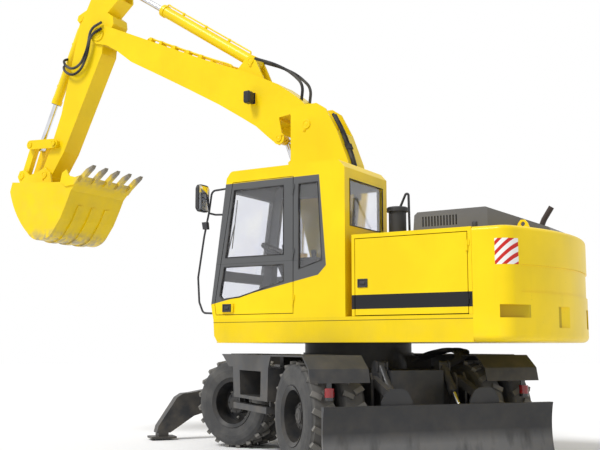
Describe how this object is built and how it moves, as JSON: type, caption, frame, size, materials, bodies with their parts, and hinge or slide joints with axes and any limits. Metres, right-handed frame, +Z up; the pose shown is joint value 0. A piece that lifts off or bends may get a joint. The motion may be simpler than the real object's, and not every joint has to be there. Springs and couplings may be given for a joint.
{
  "type": "wheeled excavator",
  "caption": "Wheeled excavator with an articulated boom, backhoe bucket, rear dozer blade, front outriggers and a turning upper structure with cab.",
  "frame": {"origin": "on the ground, under the slewing axis", "axes": "+X along the boom as the upper structure faces, +Y towards the cab side, +Z up"},
  "size_m": [7.94, 5.1953, 6.3407],
  "materials": {
    "black_plastic": "matt black plastic",
    "black_rubber": "matt black rubber",
    "body_yellow": "satin yellow enamel",
    "chassis_grey": "satin dark grey enamel",
    "chrome_rod": "polished hard chrome",
    "hood_grey": "satin dark grey enamel",
    "lamp_red": "glossy red plastic",
    "seat_fabric": "dark woven fabric",
    "tinted_glass": "clear tinted glass",
    "tyre_rubber": "matt black rubber"
  },
  "bodies": {
    "chassis": {"chassis_frame": "chassis_grey", "fender_left": "chassis_grey", "fender_right": "chassis_grey", "tail_lamps": "lamp_red", "rear_axle": "chassis_grey", "front_axle": "chassis_grey"},
    "knuckle_front_left": {"knuckle_front_left": "chassis_grey"},
    "knuckle_front_right": {"knuckle_front_right": "chassis_grey"},
    "wheel_front_left": {"tyres_front_left": "tyre_rubber", "rims_front_left": "chassis_grey"},
    "wheel_front_right": {"tyres_front_right": "tyre_rubber", "rims_front_right": "chassis_grey"},
    "wheel_rear_left": {"tyres_rear_left": "tyre_rubber", "rims_rear_left": "chassis_grey"},
    "wheel_rear_right": {"tyres_rear_right": "tyre_rubber", "rims_rear_right": "chassis_grey"},
    "blade_arms": {"blade_arms": "chassis_grey"},
    "blade_links": {"blade_links": "chassis_grey"},
    "blade": {"blade": "chassis_grey"},
    "blade_barrels": {"blade_barrels": "chassis_grey"},
    "blade_rods": {"blade_rods": "chrome_rod"},
    "outrigger_leg_left": {"outrigger_leg_left": "chassis_grey"},
    "outrigger_leg_right": {"outrigger_leg_right": "chassis_grey"},
    "outrigger_barrel_left": {"outrigger_barrel_left": "chassis_grey"},
    "outrigger_barrel_right": {"outrigger_barrel_right": "chassis_grey"},
    "outrigger_rod_left": {"outrigger_rod_left": "chrome_rod"},
    "outrigger_rod_right": {"outrigger_rod_right": "chrome_rod"},
    "upper_structure": {"upper_frame": "body_yellow", "counterweight": "body_yellow", "body_panels": "body_yellow", "engine": "hood_grey", "right_tank": "body_yellow", "cab_shell": "body_yellow", "cab_glass": "tinted_glass", "cab_seat": "seat_fabric", "cab_controls": "black_plastic", "pre_cleaner": "black_plastic", "rails": "black_plastic"},
    "cab_door": {"cab_door": "body_yellow", "door_glass": "tinted_glass"},
    "side_door_left": {"side_door_left": "body_yellow"},
    "side_door_right": {"side_door_right": "body_yellow"},
    "engine_hood": {"engine_hood": "hood_grey"},
    "lower_boom": {"lower_boom": "body_yellow", "lower_boom_hoses": "black_rubber"},
    "boom_barrels": {"boom_barrels": "body_yellow"},
    "boom_rods": {"boom_rods": "chrome_rod"},
    "adjust_barrel": {"adjust_barrel": "body_yellow"},
    "adjust_rod": {"adjust_rod": "chrome_rod"},
    "upper_boom": {"upper_boom": "body_yellow", "boom_hoses": "black_rubber"},
    "arm_barrel": {"arm_barrel": "body_yellow"},
    "arm_rod": {"arm_rod": "chrome_rod"},
    "arm": {"arm": "body_yellow"},
    "bucket_barrel": {"bucket_barrel": "body_yellow", "arm_hoses": "black_rubber"},
    "bucket_rod": {"bucket_rod": "chrome_rod"},
    "rocker": {"rocker": "body_yellow"},
    "bucket_link": {"bucket_link": "body_yellow"},
    "bucket": {"bucket": "body_yellow"}
  },
  "joints": [
    {"name": "slew", "type": "hinge", "parent": "chassis", "child": "upper_structure", "pos_m": [0, 0, 1.235], "axis": [0, 0, 1], "continuous": true},
    {"name": "wheel_rear_left_spin", "type": "hinge", "parent": "chassis", "child": "wheel_rear_left", "pos_m": [-0.85682, 0.65746, 0.5275], "axis": [0.6088, 0.7934, 0], "continuous": true},
    {"name": "wheel_rear_right_spin", "type": "hinge", "parent": "chassis", "child": "wheel_rear_right", "pos_m": [-0.85682, 0.65746, 0.5275], "axis": [0.6088, 0.7934, 0], "continuous": true},
    {"name": "steer_front_left", "type": "hinge", "parent": "chassis", "child": "knuckle_front_left", "pos_m": [1.61506, -0.45779, 0.5275], "axis": [0, 0, 1], "range_deg": [-65, 0]},
    {"name": "wheel_front_left_spin", "type": "hinge", "parent": "knuckle_front_left", "child": "wheel_front_left", "pos_m": [1.61506, -0.45779, 0.5275], "axis": [0.0436, 0.999, 0], "continuous": true},
    {"name": "steer_front_right", "type": "hinge", "parent": "chassis", "child": "knuckle_front_right", "pos_m": [0.8602, -1.44155, 0.5275], "axis": [0, 0, 1], "range_deg": [-65, 0]},
    {"name": "wheel_front_right_spin", "type": "hinge", "parent": "knuckle_front_right", "child": "wheel_front_right", "pos_m": [0.8602, -1.44155, 0.5275], "axis": [0.1305, 0.9914, 0], "continuous": true},
    {"name": "boom_lift", "type": "hinge", "parent": "upper_structure", "child": "lower_boom", "pos_m": [0.3, 0, 1.75], "axis": [0, -1, 0], "range_deg": [-62, 6]},
    {"name": "boom_cylinder_tilt", "type": "hinge", "parent": "upper_structure", "child": "boom_barrels", "pos_m": [0.86, 0, 1.42], "axis": [0, -1, 0], "range_deg": [-58.61, 6.58]},
    {"name": "boom_cylinder_stroke", "type": "slide", "parent": "boom_barrels", "child": "boom_rods", "axis": [-0.0368, 0, 0.9993], "range_m": [-0.6701, 0.0685]},
    {"name": "upper_boom_fold", "type": "hinge", "parent": "lower_boom", "child": "upper_boom", "pos_m": [0.56, 0, 3.8], "axis": [0, 1, 0], "range_deg": [-30, 28]},
    {"name": "adjust_cylinder_tilt", "type": "hinge", "parent": "lower_boom", "child": "adjust_barrel", "pos_m": [0.42, 0, 2.3], "axis": [0, 1, 0], "range_deg": [-1.74, 1.69]},
    {"name": "adjust_cylinder_stroke", "type": "slide", "parent": "adjust_barrel", "child": "adjust_rod", "axis": [0.3615, 0, 0.9324], "range_m": [-0.1976, 0.2114]},
    {"name": "arm_crowd", "type": "hinge", "parent": "upper_boom", "child": "arm", "pos_m": [3.95, 0, 5.52], "axis": [0, 1, 0], "range_deg": [-62, 40]},
    {"name": "arm_cylinder_tilt", "type": "hinge", "parent": "upper_boom", "child": "arm_barrel", "pos_m": [1.43, 0, 4.74], "axis": [0, 1, 0], "range_deg": [-2.35, 1.87]},
    {"name": "arm_cylinder_stroke", "type": "slide", "parent": "arm_barrel", "child": "arm_rod", "axis": [0.8365, 0, 0.5479], "range_m": [-0.7316, 0.4734]},
    {"name": "bucket_curl", "type": "hinge", "parent": "arm", "child": "bucket", "pos_m": [4.9, 0, 3.62], "axis": [0, 1, 0], "range_deg": [-88, 45]},
    {"name": "rocker_swing", "type": "hinge", "parent": "arm", "child": "rocker", "pos_m": [4.71, 0, 4.05], "axis": [0, 1, 0], "range_deg": [-84.89, 43.9]},
    {"name": "link_swing", "type": "hinge", "parent": "rocker", "child": "bucket_link", "pos_m": [5.18, 0, 4.08], "axis": [0, 1, 0], "range_deg": [-45, 87.05]},
    {"name": "bucket_cylinder_tilt", "type": "hinge", "parent": "arm", "child": "bucket_barrel", "pos_m": [4.36, 0, 5.85], "axis": [0, 1, 0], "range_deg": [-1.28, 1.14]},
    {"name": "bucket_cylinder_stroke", "type": "slide", "parent": "bucket_barrel", "child": "bucket_rod", "axis": [0.4204, 0, -0.9074], "range_m": [-0.5712, 0.2941]},
    {"name": "blade_lift", "type": "hinge", "parent": "chassis", "child": "blade_arms", "pos_m": [-1.07896, 0.82792, 0.55], "axis": [0.6088, 0.7934, 0], "range_deg": [0, 44]},
    {"name": "blade_link_swing", "type": "hinge", "parent": "chassis", "child": "blade_links", "pos_m": [-1.07896, 0.82792, 0.87], "axis": [0.6088, 0.7934, 0], "range_deg": [-1, 45]},
    {"name": "blade_level", "type": "hinge", "parent": "blade_arms", "child": "blade", "pos_m": [-1.41217, 1.0836, 0.4], "axis": [0.6088, 0.7934, 0], "range_deg": [-45, 1]},
    {"name": "blade_cylinder_tilt", "type": "hinge", "parent": "chassis", "child": "blade_barrels", "pos_m": [-1.00756, 0.77313, 1.01], "axis": [0.6088, 0.7934, 0], "range_deg": [-1, 11.15]},
    {"name": "blade_cylinder_stroke", "type": "slide", "parent": "blade_barrels", "child": "blade_rods", "axis": [-0.494, 0.379, -0.7825], "range_m": [-0.1942, 0.003]},
    {"name": "outrigger_lift_left", "type": "hinge", "parent": "chassis", "child": "outrigger_leg_left", "pos_m": [2.2957, -1.13132, 0.62], "axis": [0.7934, -0.6088, 0], "range_deg": [0, 77]},
    {"name": "outrigger_cylinder_tilt_left", "type": "hinge", "parent": "chassis", "child": "outrigger_barrel_left", "pos_m": [2.0802, -1.41216, 1.04], "axis": [0.7934, -0.6088, 0], "range_deg": [-1, 23.88]},
    {"name": "outrigger_cylinder_stroke_left", "type": "slide", "parent": "outrigger_barrel_left", "child": "outrigger_rod_left", "axis": [0.4993, 0.6508, -0.572], "range_m": [-0.3154, 0.003]},
    {"name": "outrigger_lift_right", "type": "hinge", "parent": "chassis", "child": "outrigger_leg_right", "pos_m": [1.68694, -1.92467, 0.62], "axis": [-0.7934, 0.6088, 0], "range_deg": [0, 77]},
    {"name": "outrigger_cylinder_tilt_right", "type": "hinge", "parent": "chassis", "child": "outrigger_barrel_right", "pos_m": [1.90244, -1.64382, 1.04], "axis": [-0.7934, 0.6088, 0], "range_deg": [-1, 23.88]},
    {"name": "outrigger_cylinder_stroke_right", "type": "slide", "parent": "outrigger_barrel_right", "child": "outrigger_rod_right", "axis": [-0.4993, -0.6508, -0.572], "range_m": [-0.3154, 0.003]},
    {"name": "cab_door_swing", "type": "hinge", "parent": "upper_structure", "child": "cab_door", "pos_m": [0.105, 1.249, 2.2], "axis": [0, 0, 1], "range_deg": [0, 140]},
    {"name": "side_door_left_swing", "type": "hinge", "parent": "upper_structure", "child": "side_door_left", "pos_m": [-1.797, 1.249, 1.88], "axis": [0, 0, 1], "range_deg": [0, 100]},
    {"name": "side_door_right_swing", "type": "hinge", "parent": "upper_structure", "child": "side_door_right", "pos_m": [-1.797, -1.249, 1.88], "axis": [0, 0, -1], "range_deg": [0, 100]},
    {"name": "engine_hood_lift", "type": "hinge", "parent": "upper_structure", "child": "engine_hood", "pos_m": [-1.092, 0, 2.317], "axis": [0, 1, 0], "range_deg": [0, 55]}
  ],
  "couplings": [
    {"joint": "steer_front_right", "follows": "steer_front_left", "ratio": 1},
    {"joint": "boom_cylinder_tilt", "follows": "boom_lift", "ratio": 0.92919},
    {"joint": "boom_cylinder_stroke", "follows": "boom_lift", "m_per_rad": 0.61558},
    {"joint": "adjust_cylinder_tilt", "follows": "upper_boom_fold", "ratio": 0.02456},
    {"joint": "adjust_cylinder_stroke", "follows": "upper_boom_fold", "m_per_rad": -0.39617},
    {"joint": "arm_cylinder_tilt", "follows": "arm_crowd", "ratio": 0.02175},
    {"joint": "arm_cylinder_stroke", "follows": "arm_crowd", "m_per_rad": 0.6724},
    {"joint": "rocker_swing", "follows": "bucket_curl", "ratio": 0.9533},
    {"joint": "link_swing", "follows": "bucket_curl", "ratio": -0.97783},
    {"joint": "bucket_cylinder_tilt", "follows": "bucket_curl", "ratio": 0.00318},
    {"joint": "bucket_cylinder_stroke", "follows": "bucket_curl", "m_per_rad": 0.36932},
    {"joint": "blade_link_swing", "follows": "blade_lift", "ratio": 1},
    {"joint": "blade_level", "follows": "blade_lift", "ratio": -1},
    {"joint": "blade_cylinder_tilt", "follows": "blade_lift", "ratio": 0.23076},
    {"joint": "blade_cylinder_stroke", "follows": "blade_lift", "m_per_rad": -0.24901},
    {"joint": "outrigger_cylinder_tilt_left", "follows": "outrigger_lift_left", "ratio": 0.29712},
    {"joint": "outrigger_cylinder_stroke_left", "follows": "outrigger_lift_left", "m_per_rad": -0.23242},
    {"joint": "outrigger_cylinder_tilt_right", "follows": "outrigger_lift_right", "ratio": 0.29712},
    {"joint": "outrigger_cylinder_stroke_right", "follows": "outrigger_lift_right", "m_per_rad": -0.23242}
  ]
}
